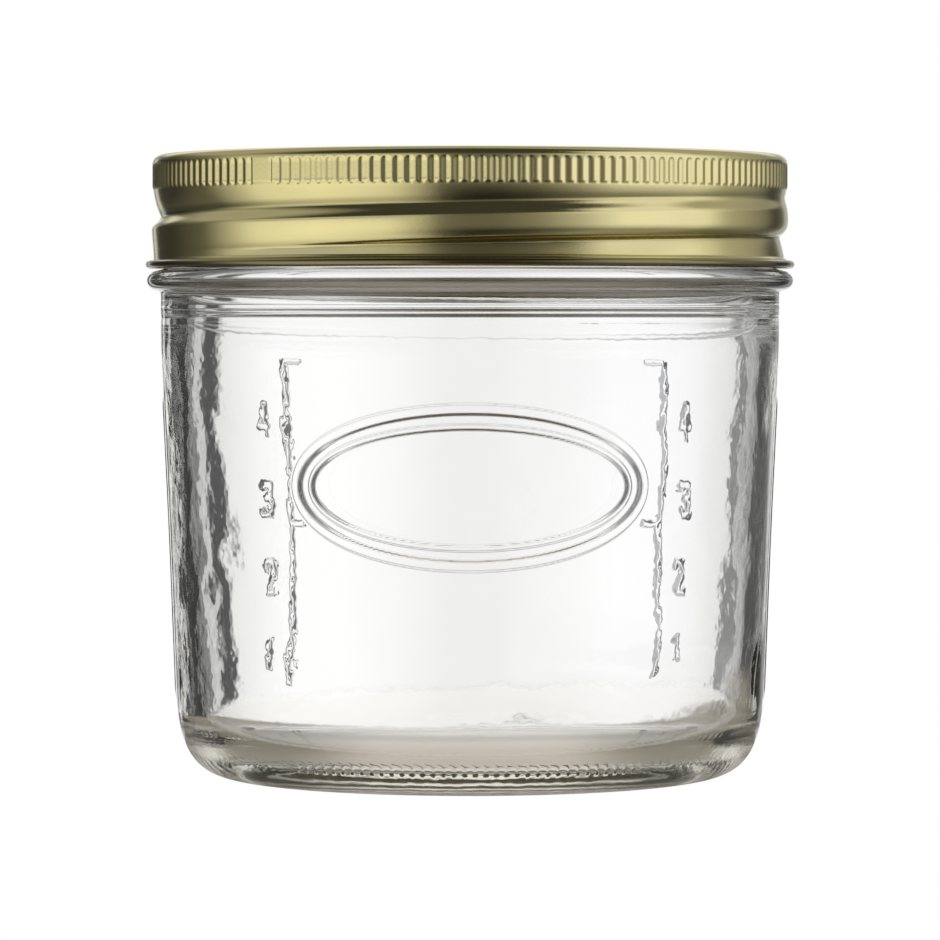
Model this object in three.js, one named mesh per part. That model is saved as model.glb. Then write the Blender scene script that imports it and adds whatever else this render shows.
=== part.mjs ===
// A half-litre wide-mouth preserving jar: a pressed glass jar, closed by a flat tinplate disc with a moulded
// sealing ring under its edge, and a knurled screw band that holds the disc down on the rim.
// Millimetres, +Z up. The origin is the middle of the base, on the plane that the jar stands on; -Y is the front.
import * as THREE from "three";

// Glass jar: body and base
const JAR_HEIGHT = 94.2;
const BODY_TOP_RADIUS = 47.8;
const BODY_UPPER_TAPER = 1.35;
const BODY_LOWER_TAPER = 1.4;
const BODY_MIDDLE_HEIGHT = 38.0;
const BODY_WALL = 4.0;
const TAPER_TOP_HEIGHT = 66.0;
const FOOT_ROUND_WIDTH = 10.0;
const FOOT_ROUND_HEIGHT = 14.0;
const FOOT_ROUND_FULLNESS = 2.8;
const BEARING_RING_WIDTH = 2.2;
const PUSH_UP_HEIGHT = 1.8;
const FLOOR_THICKNESS = 5.0;
const FLOOR_CROWN = 0.6;
const FLOOR_CORNER_RADIUS = 6.0;

// Glass jar: neck, bead, rim and thread
const NECK_SET_BACK = 0.8;
const NECK_WALL = 4.4;
const BEAD_REACH = 3.0;
const BEAD_THICKNESS = 3.0;
const BEAD_DEPTH = 17.7;
const RIM_OUTER_ROUND = 2.0;
const RIM_INNER_ROUND = 1.5;
const THREAD_PITCH = 6.1;
const THREAD_HEIGHT = 1.1;
const THREAD_HALF_WIDTH = 1.7;
const THREAD_ABOVE_BEAD = 2.4;

// Screw band and disc, both of tinplate
const TINPLATE = 0.3;
const FLANGE_WIDTH = 6.65;
const FLANGE_BEND_RADIUS = 0.6;
const FLANGE_LIP_DEPTH = 0.8;
const BAND_CORNER_RADIUS = 1.4;
const KNURL_COUNT = 174;
const KNURL_LENGTH = 4.0;
const KNURL_DEPTH = 0.5;
const KNURL_STAND_OUT = 0.15;
const KNURL_RUN_OUT = 0.5;
const KNURL_GAP_ANGLE = -2.25;
const KNURL_GAP_FLUTES = 2;
const GROOVE_STEEP_WIDTH = 2.0;
const GROOVE_EASY_WIDTH = 4.6;
const GROOVE_ABOVE_HEM = 2.2;
const GROOVE_BELOW_KNURL = 0.73;
const GROOVE_START_ANGLE = -Math.PI / 2;
const THREAD_RUN_OUT_ANGLE = Math.PI / 3;
const SKIRT_SWELL = 0.3;
const HEM_CURL_RADIUS = 0.63;
const DISC_RIM_DEPTH = 1.5;
const DISC_BEND_RADIUS = 0.6;
const PANEL_RECESS = 0.9;
const PANEL_STEP_WIDTH = 1.0;
const PANEL_BEAD_INSET = 10.0;
const PANEL_BEAD_HALF_WIDTH = 1.3;
const PANEL_BEAD_HEIGHT = 0.45;
const BUTTON_RADIUS = 12.5;
const BUTTON_HEIGHT = 0.7;

// Sealing ring
const SEAL_THICKNESS = 0.6;
const SEAL_EDGE_GAP = 0.1;
const SEAL_CHAMFER = 0.3;

// Clearances
const THREAD_CLEARANCE = 0.45;
const FLANK_CLEARANCE = 0.3;
const SEAT_GAP = 0.2;
const HEM_CLEARANCE = 0.3;
const DISC_CLEARANCE = 0.9;
const LIP_CLEARANCE = 0.2;
const RUN_OUT_CLEARANCE = 0.3;

// Fineness of the faceted surfaces
const COLUMNS = 48;
const AXIS_COLUMNS = 24;
const THREAD_ROW_HEIGHT = 0.9;
const ARC_STEPS = 4;
const ROUND_STEPS = 6;
const FOOT_STEPS = 8;

const TURN = 2 * Math.PI;

// Sizes that follow from the driving dimensions
const bodyMiddleRadius = BODY_TOP_RADIUS - BODY_UPPER_TAPER;
const footRadius = bodyMiddleRadius - BODY_LOWER_TAPER;
const lowerSlope = BODY_LOWER_TAPER / BODY_MIDDLE_HEIGHT;
const neckRadius = BODY_TOP_RADIUS - NECK_SET_BACK;
const boreRadius = neckRadius - NECK_WALL;
const beadHeight = JAR_HEIGHT - BEAD_DEPTH;
const beadRound = BEAD_THICKNESS / 2;
const beadTop = beadHeight + beadRound;
const threadRadius = neckRadius + THREAD_HEIGHT;
const bandInner = threadRadius + THREAD_CLEARANCE;
const bandOuter = bandInner + TINPLATE;
const openingRadius = bandOuter - FLANGE_WIDTH;
const grooveRadius = neckRadius + THREAD_CLEARANCE + TINPLATE;
const knurlCrest = bandOuter + KNURL_STAND_OUT;
const knurlInner = knurlCrest - KNURL_DEPTH - TINPLATE;
const discRadius = knurlInner - DISC_CLEARANCE;
const discStepRadius = openingRadius + TINPLATE + LIP_CLEARANCE + PANEL_STEP_WIDTH;
const discBendRadius = discRadius - DISC_BEND_RADIUS;
const panelBeadRadius = discStepRadius - PANEL_BEAD_INSET;

// Heights in the lid's own frame, whose zero is the top of the glass rim
const sealTop = SEAT_GAP + SEAL_THICKNESS;
const discTop = sealTop + TINPLATE;
const flangeUnder = discTop + SEAT_GAP;
const flangeTop = flangeUnder + TINPLATE;
const knurlTop = flangeTop - BAND_CORNER_RADIUS;
const knurlBottom = knurlTop - KNURL_LENGTH;
const hemBottom = beadTop + HEM_CLEARANCE - JAR_HEIGHT;
const hemTop = hemBottom + 2 * HEM_CURL_RADIUS;

// The band's groove winds up from just above the hem to just under the knurl; the glass ridge lies above it
const grooveLow = hemTop + GROOVE_ABOVE_HEM;
const grooveHigh = knurlBottom - GROOVE_BELOW_KNURL;
const ridgeAboveGroove = (GROOVE_STEEP_WIDTH + THREAD_HALF_WIDTH) / 2 + FLANK_CLEARANCE;
const ridgeLow = beadTop + THREAD_ABOVE_BEAD;
const ridgeHigh = JAR_HEIGHT + knurlBottom - THREAD_HALF_WIDTH - RUN_OUT_CLEARANCE;

// Bell curve of height 1 that falls to zero at one width below its middle and at another above it
function bell(offset, below, above = below) {
  const width = offset < 0 ? below : above;
  const share = Math.min(Math.abs(offset) / width, 1);
  return Math.cos((share * Math.PI) / 2) ** 2;
}

// How strongly a helical feature stands at a height and angle, from 0 to 1. It starts at startAngle on the
// height low, climbs one pitch a turn to the height high, and fades in and out over the run-out angle.
function helixStrength(angle, height, { low, high, startAngle, widthsAt }) {
  const sweep = ((high - low) / THREAD_PITCH) * TURN;
  const first = Math.ceil((startAngle - angle) / TURN);
  let strength = 0;
  for (let turn = first; angle + turn * TURN <= startAngle + sweep; turn++) {
    const along = angle + turn * TURN - startAngle;
    const toEnd = Math.min(along, sweep - along);
    const fade = THREE.MathUtils.smoothstep(toEnd, 0, THREAD_RUN_OUT_ANGLE);
    const centre = low + (along / TURN) * THREAD_PITCH;
    const [below, above] = widthsAt(along, centre);
    strength = Math.max(strength, fade * bell(height - centre, below, above));
  }
  return strength;
}

// The groove's flank is easy where the wall runs on to the hem or to the knurl, and steep where it meets the
// rib between two turns. It changes from one to the other as the groove climbs past the back.
const groove = {
  low: grooveLow,
  high: grooveHigh,
  startAngle: GROOVE_START_ANGLE,
  widthsAt(along, centre) {
    const climb = THREE.MathUtils.smoothstep(along, TURN / 4, (TURN * 3) / 4);
    const below = THREE.MathUtils.lerp(GROOVE_EASY_WIDTH, GROOVE_STEEP_WIDTH, climb);
    const above = THREE.MathUtils.lerp(GROOVE_STEEP_WIDTH, GROOVE_EASY_WIDTH, climb);
    return [below, Math.min(above, knurlBottom - centre)];
  },
};

const ridgeClimb = ridgeLow - JAR_HEIGHT - ridgeAboveGroove - grooveLow;
const ridge = {
  low: ridgeLow,
  high: ridgeHigh,
  startAngle: GROOVE_START_ANGLE + (ridgeClimb / THREAD_PITCH) * TURN,
  widthsAt: () => [THREAD_HALF_WIDTH, THREAD_HALF_WIDTH],
};

// One loop of points round the axis. Its radius is a number, or a function of the angle.
function loop(radius, height, columns = COLUMNS) {
  const count = radius === 0 ? 1 : columns;
  return Array.from({ length: count }, (_, i) => {
    const angle = (i / count) * TURN;
    const r = typeof radius === "function" ? radius(angle) : radius;
    return new THREE.Vector3(r * Math.cos(angle), r * Math.sin(angle), height);
  });
}

// Points of an arc in the plane of radius and height, ends included
function arc(radius, height, round, fromDegrees, toDegrees, steps = ARC_STEPS) {
  return Array.from({ length: steps + 1 }, (_, i) => {
    const angle = THREE.MathUtils.degToRad(fromDegrees + ((toDegrees - fromDegrees) * i) / steps);
    return [radius + round * Math.cos(angle), height + round * Math.sin(angle)];
  });
}

// Heights from one level to another in equal rows, ends included
function rows(from, to, rowHeight) {
  const count = Math.max(1, Math.round(Math.abs(to - from) / rowHeight));
  return Array.from({ length: count + 1 }, (_, i) => from + ((to - from) * i) / count);
}

// Triangles between two neighbouring loops, which may have different numbers of points
function stitch(lower, upper, lowerStart, upperStart, triangles) {
  let i = 0;
  let j = 0;
  while (i < lower.length || j < upper.length) {
    const lowerNext = (i + 1) / lower.length;
    const upperNext = (j + 1) / upper.length;
    const a = lowerStart + (i % lower.length);
    const b = upperStart + (j % upper.length);
    if (i < lower.length && (j >= upper.length || lowerNext <= upperNext)) {
      if (lower.length > 1) triangles.push(a, lowerStart + ((i + 1) % lower.length), b);
      i++;
    } else {
      if (upper.length > 1) triangles.push(a, upperStart + ((j + 1) % upper.length), b);
      j++;
    }
  }
}

// Skin over a row of loops, out along the underside, up the outside and back in: closed at both ends by points
// on the axis, or on itself
function skin(loops, closesOnItself = false) {
  const starts = [];
  const points = [];
  for (const ring of loops) {
    starts.push(points.length);
    points.push(...ring);
  }
  const triangles = [];
  const last = closesOnItself ? loops.length : loops.length - 1;
  for (let i = 0; i < last; i++) {
    const next = (i + 1) % loops.length;
    stitch(loops[i], loops[next], starts[i], starts[next], triangles);
  }
  const geometry = new THREE.BufferGeometry().setFromPoints(points).setIndex(triangles);
  geometry.computeVertexNormals();
  return geometry;
}

const loopsOf = (profile, columns) => profile.map(([r, z]) => loop(r, z, columns));

// Radius of the plain wall below the middle of the body
const lowerWall = (height) => footRadius + lowerSlope * height;

// The foot's round, from the bearing ring up to the wall: a quarter of an oval, fuller than an ellipse
function footRound() {
  const power = 2 / FOOT_ROUND_FULLNESS;
  return Array.from({ length: FOOT_STEPS + 1 }, (_, i) => {
    const angle = ((1 - i / FOOT_STEPS) * Math.PI) / 2;
    const height = FOOT_ROUND_HEIGHT * (1 - Math.sin(angle) ** power);
    return [lowerWall(height) - FOOT_ROUND_WIDTH * (1 - Math.cos(angle) ** power), height];
  });
}

function glassJarGeometry() {
  const bearingInner = footRadius - FOOT_ROUND_WIDTH - BEARING_RING_WIDTH;
  const base = [
    ...loopsOf([[0, PUSH_UP_HEIGHT]]),
    ...loopsOf([[bearingInner / 2, PUSH_UP_HEIGHT * 0.8]], AXIS_COLUMNS),
    ...loopsOf([[bearingInner, 0]]),
  ];
  const body = loopsOf([
    ...footRound(),
    [bodyMiddleRadius, BODY_MIDDLE_HEIGHT],
    [BODY_TOP_RADIUS, TAPER_TOP_HEIGHT],
    [BODY_TOP_RADIUS, beadHeight - beadRound],
  ]);
  const beadCentre = neckRadius + BEAD_REACH - beadRound;
  const bead = loopsOf(arc(beadCentre, beadHeight, beadRound, -70, 90, ROUND_STEPS));
  const rimOuterLow = JAR_HEIGHT - RIM_OUTER_ROUND;
  const neck = rows(beadTop, rimOuterLow, THREAD_ROW_HEIGHT).map((z) =>
    loop((angle) => neckRadius + THREAD_HEIGHT * helixStrength(angle, z, ridge), z),
  );
  const rim = loopsOf([
    ...arc(neckRadius - RIM_OUTER_ROUND, rimOuterLow, RIM_OUTER_ROUND, 22.5, 90),
    ...arc(boreRadius + RIM_INNER_ROUND, JAR_HEIGHT - RIM_INNER_ROUND, RIM_INNER_ROUND, 90, 180),
  ]);
  const cornerTop = FLOOR_THICKNESS + FLOOR_CORNER_RADIUS;
  const floorCentre = lowerWall(cornerTop) - BODY_WALL - FLOOR_CORNER_RADIUS;
  const wallDegrees = THREE.MathUtils.radToDeg(Math.atan(lowerSlope));
  const inside = loopsOf([
    [BODY_TOP_RADIUS - BODY_WALL, TAPER_TOP_HEIGHT],
    [bodyMiddleRadius - BODY_WALL, BODY_MIDDLE_HEIGHT],
    ...arc(floorCentre, cornerTop, FLOOR_CORNER_RADIUS, -wallDegrees, -90),
  ]);
  const floor = [
    ...loopsOf([[floorCentre / 2, FLOOR_THICKNESS + FLOOR_CROWN * 0.8]], AXIS_COLUMNS),
    ...loopsOf([[0, FLOOR_THICKNESS + FLOOR_CROWN]]),
  ];
  return skin([...base, ...body, ...bead, ...neck, ...rim, ...inside, ...floor]);
}

// Outer radius of the band's skirt before the groove is rolled in: it swells where the thread runs
function skirtRadius(height) {
  const middle = (knurlBottom + hemTop) / 2;
  return bandOuter + SKIRT_SWELL * bell(height - middle, (knurlBottom - hemTop) / 2);
}

function screwBandGeometry() {
  const skirtRows = rows(hemTop, knurlBottom - KNURL_RUN_OUT, THREAD_ROW_HEIGHT);
  const rolled = (z, inset) => {
    const plain = skirtRadius(z);
    return loop((angle) => plain - inset - (plain - grooveRadius) * helixStrength(angle, z, groove), z);
  };
  const hem = loopsOf([
    [bandInner, hemBottom + HEM_CURL_RADIUS],
    ...arc(bandOuter + HEM_CURL_RADIUS, hemBottom + HEM_CURL_RADIUS, HEM_CURL_RADIUS, -110, 110, ROUND_STEPS),
  ]);
  const skirt = skirtRows.map((z) => rolled(z, 0));
  // Flutes run all round but for a short plain gap; each one is the dip between two crests
  const gapAngle = THREE.MathUtils.euclideanModulo(KNURL_GAP_ANGLE, TURN);
  const fluteAngle = TURN / KNURL_COUNT;
  const flutedRadius = (angle) => {
    const isGap = Math.abs(angle - gapAngle) < (KNURL_GAP_FLUTES * fluteAngle) / 2;
    const isDip = Math.round(angle / (fluteAngle / 2)) % 2 === 1;
    return isDip && !isGap ? knurlCrest - KNURL_DEPTH : knurlCrest;
  };
  const knurl = [
    loop(bandOuter, knurlBottom, KNURL_COUNT),
    loop(flutedRadius, knurlBottom + KNURL_RUN_OUT, 2 * KNURL_COUNT),
    loop(flutedRadius, knurlTop - KNURL_RUN_OUT, 2 * KNURL_COUNT),
    loop(knurlCrest, knurlTop, KNURL_COUNT),
  ];
  const cornerRadius = knurlCrest - BAND_CORNER_RADIUS;
  const lipRadius = openingRadius + FLANGE_BEND_RADIUS;
  const lipBend = flangeTop - FLANGE_BEND_RADIUS;
  const top = loopsOf([
    ...arc(cornerRadius, knurlTop, BAND_CORNER_RADIUS, 30, 90, 2),
    ...arc(lipRadius, lipBend, FLANGE_BEND_RADIUS, 90, 180, 2),
    [openingRadius, flangeTop - FLANGE_LIP_DEPTH],
    [openingRadius + TINPLATE, flangeTop - FLANGE_LIP_DEPTH],
    ...arc(lipRadius, lipBend, FLANGE_BEND_RADIUS - TINPLATE, 180, 90, 2),
    [cornerRadius, flangeUnder],
    [knurlInner, knurlTop],
    [knurlInner, knurlBottom],
  ]);
  const lining = skirtRows.map((z) => rolled(z, TINPLATE)).reverse();
  return skin([...hem, ...skirt, ...knurl, ...top, ...lining], true);
}

function vacuumDiscGeometry() {
  const panel = sealTop - PANEL_RECESS;
  // Underside of the stamping, from the button in the middle to the start of the rim's bend
  const pressing = [
    [0, panel + BUTTON_HEIGHT],
    [BUTTON_RADIUS * 0.55, panel + BUTTON_HEIGHT * 0.8],
    [BUTTON_RADIUS * 0.85, panel + BUTTON_HEIGHT * 0.25],
    [BUTTON_RADIUS, panel],
    [panelBeadRadius - PANEL_BEAD_HALF_WIDTH, panel],
    [panelBeadRadius, panel + PANEL_BEAD_HEIGHT],
    [panelBeadRadius + PANEL_BEAD_HALF_WIDTH, panel],
    [discStepRadius - PANEL_STEP_WIDTH, panel],
    [discStepRadius, sealTop],
  ];
  const bendHeight = discTop - DISC_BEND_RADIUS;
  const rimBottom = discTop - DISC_RIM_DEPTH;
  const rim = [
    ...arc(discBendRadius, bendHeight, DISC_BEND_RADIUS - TINPLATE, 90, 0, 2),
    [discRadius - TINPLATE, rimBottom],
    [discRadius, rimBottom],
    ...arc(discBendRadius, bendHeight, DISC_BEND_RADIUS, 0, 90, 2),
  ];
  const face = pressing.map(([r, z]) => [r, z + TINPLATE]).reverse();
  return skin(loopsOf([...pressing, ...rim, ...face]));
}

// The ring fills the channel under the disc's edge, between the step of the panel and the bend of the rim
function sealingRingGeometry() {
  const inner = discStepRadius + SEAL_EDGE_GAP;
  const outer = discBendRadius - SEAL_EDGE_GAP;
  const section = [
    [inner + SEAL_CHAMFER, SEAT_GAP],
    [outer - SEAL_CHAMFER, SEAT_GAP],
    [outer, SEAT_GAP + SEAL_CHAMFER],
    [outer, sealTop],
    [inner, sealTop],
    [inner, SEAT_GAP + SEAL_CHAMFER],
  ];
  return skin(loopsOf(section), true);
}

const glass = new THREE.MeshStandardMaterial({
  color: 0xe9eeec,
  roughness: 0.04,
  metalness: 0,
  transparent: true,
  opacity: 0.35,
});
const goldLacquer = new THREE.MeshStandardMaterial({ color: 0xc2ad6a, roughness: 0.34, metalness: 0.95 });
const discLacquer = new THREE.MeshStandardMaterial({ color: 0xc8b472, roughness: 0.3, metalness: 0.95 });
const sealCompound = new THREE.MeshStandardMaterial({ color: 0xb9b2a6, roughness: 0.6, metalness: 0 });

function piece(name, geometry, material) {
  const mesh = new THREE.Mesh(geometry, material);
  mesh.name = name;
  return mesh;
}

const lid = new THREE.Group();
lid.position.z = JAR_HEIGHT;
lid.add(
  piece("vacuum_disc", vacuumDiscGeometry(), discLacquer),
  piece("sealing_ring", sealingRingGeometry(), sealCompound),
  piece("screw_band", screwBandGeometry(), goldLacquer),
);

const jar = new THREE.Group();
jar.add(piece("glass_jar", glassJarGeometry(), glass), lid);

export default jar;
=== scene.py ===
# A half-litre preserving jar of clear pressed glass with a gold two-piece lid.
# In metres, +Z up, front towards -Y.
import math

import bpy
import numpy as np
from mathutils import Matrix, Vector


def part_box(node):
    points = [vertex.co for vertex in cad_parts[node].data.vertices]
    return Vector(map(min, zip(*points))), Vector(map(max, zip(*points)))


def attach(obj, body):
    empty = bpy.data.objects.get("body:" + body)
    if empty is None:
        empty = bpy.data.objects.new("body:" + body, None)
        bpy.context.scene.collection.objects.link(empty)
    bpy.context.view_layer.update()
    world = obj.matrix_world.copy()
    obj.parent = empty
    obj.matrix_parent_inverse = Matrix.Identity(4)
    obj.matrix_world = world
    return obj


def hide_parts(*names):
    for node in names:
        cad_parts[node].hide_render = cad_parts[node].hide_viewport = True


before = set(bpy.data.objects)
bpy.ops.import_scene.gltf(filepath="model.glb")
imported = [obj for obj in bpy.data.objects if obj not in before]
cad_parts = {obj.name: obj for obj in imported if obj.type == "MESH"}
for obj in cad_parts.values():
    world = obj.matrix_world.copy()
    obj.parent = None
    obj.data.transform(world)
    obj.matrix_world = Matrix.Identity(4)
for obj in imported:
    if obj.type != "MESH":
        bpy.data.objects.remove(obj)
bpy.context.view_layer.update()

MM = 0.001
TURN = 2 * math.pi
FRONT = -math.pi / 2
BACK = math.pi / 2

# Sizes read from the frame
jar_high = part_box("glass_jar")[1]
band_low, band_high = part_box("screw_band")
disc_low, disc_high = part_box("vacuum_disc")
seal_low, seal_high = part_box("sealing_ring")
RIM = jar_high[2]
BEAD_RADIUS = jar_high[0]
BAND_TOP = band_high[2]
BAND_BOTTOM = band_low[2]
HEM_RADIUS = band_high[0]
DISC_RADIUS = disc_high[0]
DISC_TOP = disc_high[2]
DISC_BOTTOM = disc_low[2]
SEAL_RADIUS = seal_high[0]
SEAL_TOP = seal_high[2]
SEAL_BOTTOM = seal_low[2]

# Glass jar
BODY_TOP_RADIUS = 47.8 * MM
FOOT_RADIUS = 45.05 * MM
BODY_MIDDLE_RADIUS = 46.45 * MM
BODY_MIDDLE_HEIGHT = 38.0 * MM
TAPER_TOP = 66.0 * MM
BODY_WALL = 4.0 * MM
FOOT_ROUND_WIDTH = 10.0 * MM
FOOT_ROUND_HEIGHT = 14.0 * MM
FOOT_ROUND_FULLNESS = 2.8
BEARING_WIDTH = 2.2 * MM
# The pressed wall is a little thinner on the right and towards the top
THIN_LEFT = 0.25 * MM
THIN_RIGHT = 1.0 * MM
THIN_TOP = 0.006
THIN_FOOT = (6 * MM, 24 * MM)
THIN_HEAD = (62 * MM, 86 * MM)
PUSH_UP = 1.8 * MM
FLOOR_THICKNESS = 5.0 * MM
FLOOR_CROWN = 0.6 * MM
FLOOR_CORNER = 6.0 * MM
BODY_BEND = 6.0 * MM
NECK_RADIUS = 47.0 * MM
BORE_RADIUS = 42.6 * MM
BEAD_ROUND = 1.5 * MM
BEAD_FILLET = 1.12 * BEAD_ROUND
BEAD_DEPTH = 17.7 * MM
RIM_OUTER_ROUND = 2.0 * MM
RIM_INNER_ROUND = 1.5 * MM
GLASS_SOFTNESS = 0.35 * MM

# Thread, on the glass and rolled into the band
PITCH = 6.1 * MM
THREAD_HEIGHT = 1.1 * MM
RIDGE_HALF_WIDTH = 1.7 * MM
RIDGE_ABOVE_BEAD = 2.4 * MM
GROOVE_RADIUS = 47.75 * MM
GROOVE_ABOVE_HEM = 2.2 * MM
GROOVE_BELOW_KNURL = 0.1 * MM
GROOVE_STEEP_WIDTH = 2.2 * MM
GROOVE_RISE_WIDTH = 3.4 * MM
GROOVE_RISE_POWER = 4
GROOVE_EASY_WIDTH = 4.6 * MM
GROOVE_CONE_POWER = 1.4
GROOVE_CONE_LEAST = 0.3 * MM
# Place and width of the painted shade in the notch of the groove
NOTCH_RISE = 0.3 * MM
NOTCH_HALF_WIDTH = 0.9 * MM
GROOVE_RISE = math.radians(90)
GROOVE_FADE = math.radians(220)
RIDGE_ABOVE_GROOVE = 2.15 * MM
GROOVE_LEAD = math.radians(75)
GROOVE_START = FRONT - GROOVE_LEAD
RUN_OUT = math.pi / 3
RUN_OUT_CLEARANCE = 0.3 * MM

# Screw band
TINPLATE = 0.3 * MM
HEM_ROUND = 0.63 * MM
BAND_RADIUS = HEM_RADIUS - 2 * HEM_ROUND
OPENING_RADIUS = BAND_RADIUS - 6.65 * MM
LIP_BEND = 0.6 * MM
LIP_DEPTH = 0.8 * MM
BAND_CORNER = 1.4 * MM
KNURL_COUNT = 174
KNURL_LENGTH = 4.0 * MM
KNURL_STAND_OUT = 0.15 * MM
KNURL_DEPTH = 0.19 * MM
FLUTE_OVERRUN = 0.05 * MM
KNURL_GAP_ANGLE = -2.25
KNURL_GAP_FLUTES = 2
FLUTE_END = 0.8 * MM
KNURL_SHOULDER = 0.5 * MM
SKIRT_SWELL = 0.3 * MM
SKIRT_ABOVE_HEM = 0.35 * MM
SKIRT_BELOW_KNURL = 0.15 * MM
HEM_SOFTNESS = 0.06 * MM
HEM_SPACING = 0.12 * MM
LIP_SOFTNESS = 0.05 * MM
BEND_SPACING = 0.03 * MM
BAND_COLUMNS = 4 * KNURL_COUNT
KNURL_COLUMNS = 10 * KNURL_COUNT
SKIRT_ROWS = 60
KNURL_ROWS = 26

# Disc and sealing ring
PANEL_RECESS = 0.9 * MM
PANEL_STEP = 1.0 * MM
PANEL_EDGE = OPENING_RADIUS + TINPLATE + 0.2 * MM
PANEL_BEAD_INSET = 10.0 * MM
PANEL_BEAD_HALF_WIDTH = 1.3 * MM
PANEL_BEAD_HEIGHT = 0.45 * MM
BUTTON_RADIUS = 12.5 * MM
BUTTON_HEIGHT = 0.7 * MM
BUTTON_POWER = 1.3
DISC_BEND = 0.6 * MM
PRESSING_SOFTNESS = 0.25 * MM
DISC_RIM_SOFTNESS = 0.04 * MM
DISC_RIM_BEND_SPACING = 0.02 * MM
DISC_RIM_SPACING = 0.15 * MM
DISC_COLUMNS = 288
RING_SEAT = PANEL_EDGE + PANEL_STEP
RING_PLAY = 0.1 * MM
RING_ROUND = 0.3 * MM
RING_COLUMNS = 240

# Relief pressed into the outside of the glass
RELIEF_HEIGHT = 0.5 * MM
RELIEF_EDGE = 0.22 * MM
RELIEF_BOTTOM = 9 * MM
RELIEF_TOP = 70 * MM
OVAL_HEIGHT = 46.0 * MM
OVAL_HALF_WIDTH = 27.5 * MM
OVAL_HALF_HEIGHT = 11.5 * MM
OVAL_STROKE = 0.75 * MM
INNER_OVAL_INSET = 2.6 * MM
INNER_OVAL_STROKE = 0.4 * MM
INNER_OVAL_SHARE = 0.8
SCALE_ANGLE = math.radians(43)
SCALE_TOP = 64.0 * MM
SCALE_BOTTOM = 11.0 * MM
SCALE_STROKE = 0.5 * MM
SCALE_SHARE = 0.85
SCALE_TICK_LENGTH = 3.6 * MM
NUMERAL_UNIT = 2.4 * MM
NUMERAL_ASIDE = 6.0 * MM
FIRST_NUMERAL = 3.0 * MM
NUMERAL_STEP = 12.5 * MM
SEAM_HALF_WIDTH = 0.45 * MM
SEAM_HEIGHT = 0.25 * MM
SEAM_FOOT = (10 * MM, 14 * MM)
SEAM_HEAD = (57 * MM, 60 * MM)
NECK_SEAM = 72.2 * MM
NECK_SEAM_HALF_WIDTH = 0.4 * MM
NECK_SEAM_HEIGHT = 0.05 * MM
NECK_STEP = 70.8 * MM
NECK_STEP_HALF_WIDTH = 0.5 * MM
NECK_STEP_DEPTH = 0.08 * MM
BEARING_NICK_COUNT = 132
BEARING_NICK_DEPTH = 0.3 * MM
BEARING_NICK_SHARE = 0.3
BEARING_NICK_TOP = 2 * MM
BEARING_NICK_HALF_LENGTH = 1.9 * MM
BEARING_NICK_SLANT = 2.4 * MM
HEEL_NICK_COUNT = 176
HEEL_NICK_DEPTH = 0.12 * MM
HEEL_NICK_SHARE = 0.24
HEEL_NICK_HEIGHT = 4.1 * MM
HEEL_NICK_HALF_LENGTH = 0.9 * MM

# Waves in the inside of the wall
BROAD_WAVE = 0.1 * MM
MEDIUM_WAVE = 0.03 * MM
WAVE_FOOT = (6 * MM, 16 * MM)
WAVE_HEAD = (54 * MM, 66 * MM)

# Distances between the points of the glass, closer where it has relief
ROUND_SPACING = 0.6 * MM
SCALE_SPACING = 0.28 * MM
OVAL_SPACING = 0.22 * MM
SEAM_SPACING = 0.16 * MM
INNER_SPACING = 1.0 * MM
WALL_SPACING = 0.4 * MM
NECK_SPACING = 0.25 * MM
NECK_SPACING_FROM = 68 * MM
FLOOR_SPACING_TO = 14 * MM
FOOT_SPACING_FROM = 30 * MM
# How far round the closer spacing goes: in degrees from the back and the front, in length from a seam
SCALE_SIDES = (36, 56)
OVAL_SIDE = 36
SEAM_SIDE = 1.0 * MM

# A loop of a smaller radius than this is a single point on the axis
ON_AXIS = 1e-7


def smoothstep(value, low, high):
    share = np.clip((value - low) / (high - low), 0.0, 1.0)
    return share * share * (3.0 - 2.0 * share)


def bell(offset, half_width):
    share = np.minimum(np.abs(offset) / half_width, 1.0)
    return np.cos(share * math.pi / 2) ** 2


def angle_from(angles, middle):
    """Angles measured from a middle one, from half a turn before it to half a turn after."""
    return (angles - middle + math.pi) % TURN - math.pi


def helix_strength(angle, height, low, high, start, shape_at, fade_in=None, fade_out=None):
    """How strongly a helical feature stands at each angle and height, from 0 to 1."""
    sweep = (high - low) / PITCH * TURN
    first = (angle - start) % TURN
    strength = np.zeros(np.broadcast(angle, height).shape)
    for turn in range(int(sweep // TURN) + 1):
        along = first + turn * TURN
        fade = smoothstep(along, 0.0, fade_in or RUN_OUT)
        if fade_out:
            fade = fade * np.clip((sweep - along) / fade_out, 0.0, 1.0)
        else:
            fade = fade * smoothstep(sweep - along, 0.0, RUN_OUT)
        centre = low + along / TURN * PITCH
        strength = np.maximum(strength, fade * shape_at(along, centre, height))
    return strength


class Noise:
    """Smooth noise of about -1 to 1 on a grid of angle and height that closes round the axis."""

    def __init__(self, seed, around, cell_height):
        self.table = np.random.default_rng(seed).uniform(-1.0, 1.0, (256, around))
        self.around = around
        self.cell_height = cell_height

    def __call__(self, angle, height):
        u = (angle % TURN) / TURN * self.around
        v = height / self.cell_height + 100.0
        u, v = np.broadcast_arrays(u, v)
        column = np.floor(u).astype(int)
        row = np.floor(v).astype(int)
        fu = smoothstep(u - column, 0.0, 1.0)
        fv = smoothstep(v - row, 0.0, 1.0)
        left = column % self.around
        right = (column + 1) % self.around
        low = row % 256
        high = (row + 1) % 256
        bottom = self.table[low, left] * (1 - fu) + self.table[low, right] * fu
        top = self.table[high, left] * (1 - fu) + self.table[high, right] * fu
        return bottom * (1 - fv) + top * fv


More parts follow.
